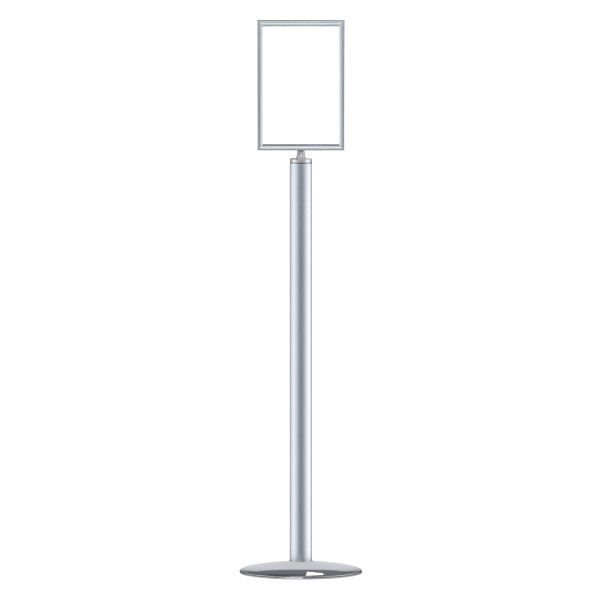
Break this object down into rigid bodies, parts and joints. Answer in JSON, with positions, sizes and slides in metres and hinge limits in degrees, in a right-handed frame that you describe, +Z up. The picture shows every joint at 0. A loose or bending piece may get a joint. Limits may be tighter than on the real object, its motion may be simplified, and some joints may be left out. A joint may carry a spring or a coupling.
{
  "type": "sign stand",
  "caption": "Floor-standing sign holder: a portrait snap frame swivels on a round post that rises from a low domed, weighted base.",
  "frame": {"origin": "on the floor, at the centre of the round base", "axes": "+Z up along the post, -Y out of the front of the sign, +X to the right seen from the front"},
  "size_m": [0.295, 0.295, 1.3274],
  "materials": {
    "rubber_pad": "matte",
    "weight_iron": "painted black",
    "cover_chrome": "polished",
    "fastener_steel": "zinc plated",
    "spring_steel": "bright",
    "plug_aluminium": "turned",
    "post_aluminium": "satin anodised",
    "cap_aluminium": "satin anodised",
    "stem_aluminium": "turned",
    "core_aluminium": "satin anodised",
    "rail_aluminium": "satin anodised",
    "bush_acetal": "matte",
    "ring_nylon": "matte",
    "panel_white": "matte",
    "sheet_paper": "smooth",
    "cover_clear": "clear gloss"
  },
  "bodies": {
    "stand": {"floor_pad": "rubber_pad", "base_weight": "weight_iron", "base_cover": "cover_chrome", "base_bolt": "fastener_steel", "base_spring_washer": "fastener_steel", "base_washer": "fastener_steel", "foot_plug": "plug_aluminium", "foot_plug_screws": "fastener_steel", "post_tube": "post_aluminium", "top_plug": "plug_aluminium", "top_plug_screws": "fastener_steel", "swivel_bush": "bush_acetal", "swivel_ring": "ring_nylon"},
    "head": {"swivel_cap": "cap_aluminium", "swivel_stem": "stem_aluminium", "stem_set_screw": "fastener_steel", "head_stud": "fastener_steel", "thrust_washer": "fastener_steel", "disc_spring": "spring_steel", "swivel_nut": "fastener_steel", "stem_anchor": "fastener_steel", "anchor_screws": "fastener_steel", "frame_core_bottom": "core_aluminium", "frame_core_top": "core_aluminium", "frame_core_left": "core_aluminium", "frame_core_right": "core_aluminium", "corner_keys": "fastener_steel", "corner_screws": "fastener_steel", "divider_panel": "panel_white", "front_sheet": "sheet_paper", "rear_sheet": "sheet_paper", "front_cover": "cover_clear", "rear_cover": "cover_clear", "front_rail_springs": "spring_steel", "rear_rail_springs": "spring_steel"},
    "front_rail_top": {"front_rail_top": "rail_aluminium"},
    "front_rail_bottom": {"front_rail_bottom": "rail_aluminium"},
    "front_rail_left": {"front_rail_left": "rail_aluminium"},
    "front_rail_right": {"front_rail_right": "rail_aluminium"},
    "rear_rail_top": {"rear_rail_top": "rail_aluminium"},
    "rear_rail_bottom": {"rear_rail_bottom": "rail_aluminium"},
    "rear_rail_left": {"rear_rail_left": "rail_aluminium"},
    "rear_rail_right": {"rear_rail_right": "rail_aluminium"}
  },
  "joints": [
    {"name": "head_swivel", "type": "hinge", "parent": "stand", "child": "head", "pos_m": [0, 0, 0.987], "axis": [0, 0, 1], "continuous": true},
    {"name": "front_rail_top_flip", "type": "hinge", "parent": "head", "child": "front_rail_top", "pos_m": [0, -0.0062, 1.3257], "axis": [-1, 0, 0], "range_deg": [0, 90]},
    {"name": "front_rail_bottom_flip", "type": "hinge", "parent": "head", "child": "front_rail_bottom", "pos_m": [0, -0.0062, 1.0167], "axis": [1, 0, 0], "range_deg": [0, 90]},
    {"name": "front_rail_left_flip", "type": "hinge", "parent": "head", "child": "front_rail_left", "pos_m": [-0.1037, -0.0062, 1.1712], "axis": [0, 0, -1], "range_deg": [0, 90]},
    {"name": "front_rail_right_flip", "type": "hinge", "parent": "head", "child": "front_rail_right", "pos_m": [0.1037, -0.0062, 1.1712], "axis": [0, 0, 1], "range_deg": [0, 90]},
    {"name": "rear_rail_top_flip", "type": "hinge", "parent": "head", "child": "rear_rail_top", "pos_m": [0, 0.0062, 1.3257], "axis": [1, 0, 0], "range_deg": [0, 90]},
    {"name": "rear_rail_bottom_flip", "type": "hinge", "parent": "head", "child": "rear_rail_bottom", "pos_m": [0, 0.0062, 1.0167], "axis": [-1, 0, 0], "range_deg": [0, 90]},
    {"name": "rear_rail_left_flip", "type": "hinge", "parent": "head", "child": "rear_rail_left", "pos_m": [-0.1037, 0.0062, 1.1712], "axis": [0, 0, 1], "range_deg": [0, 90]},
    {"name": "rear_rail_right_flip", "type": "hinge", "parent": "head", "child": "rear_rail_right", "pos_m": [0.1037, 0.0062, 1.1712], "axis": [0, 0, -1], "range_deg": [0, 90]}
  ]
}
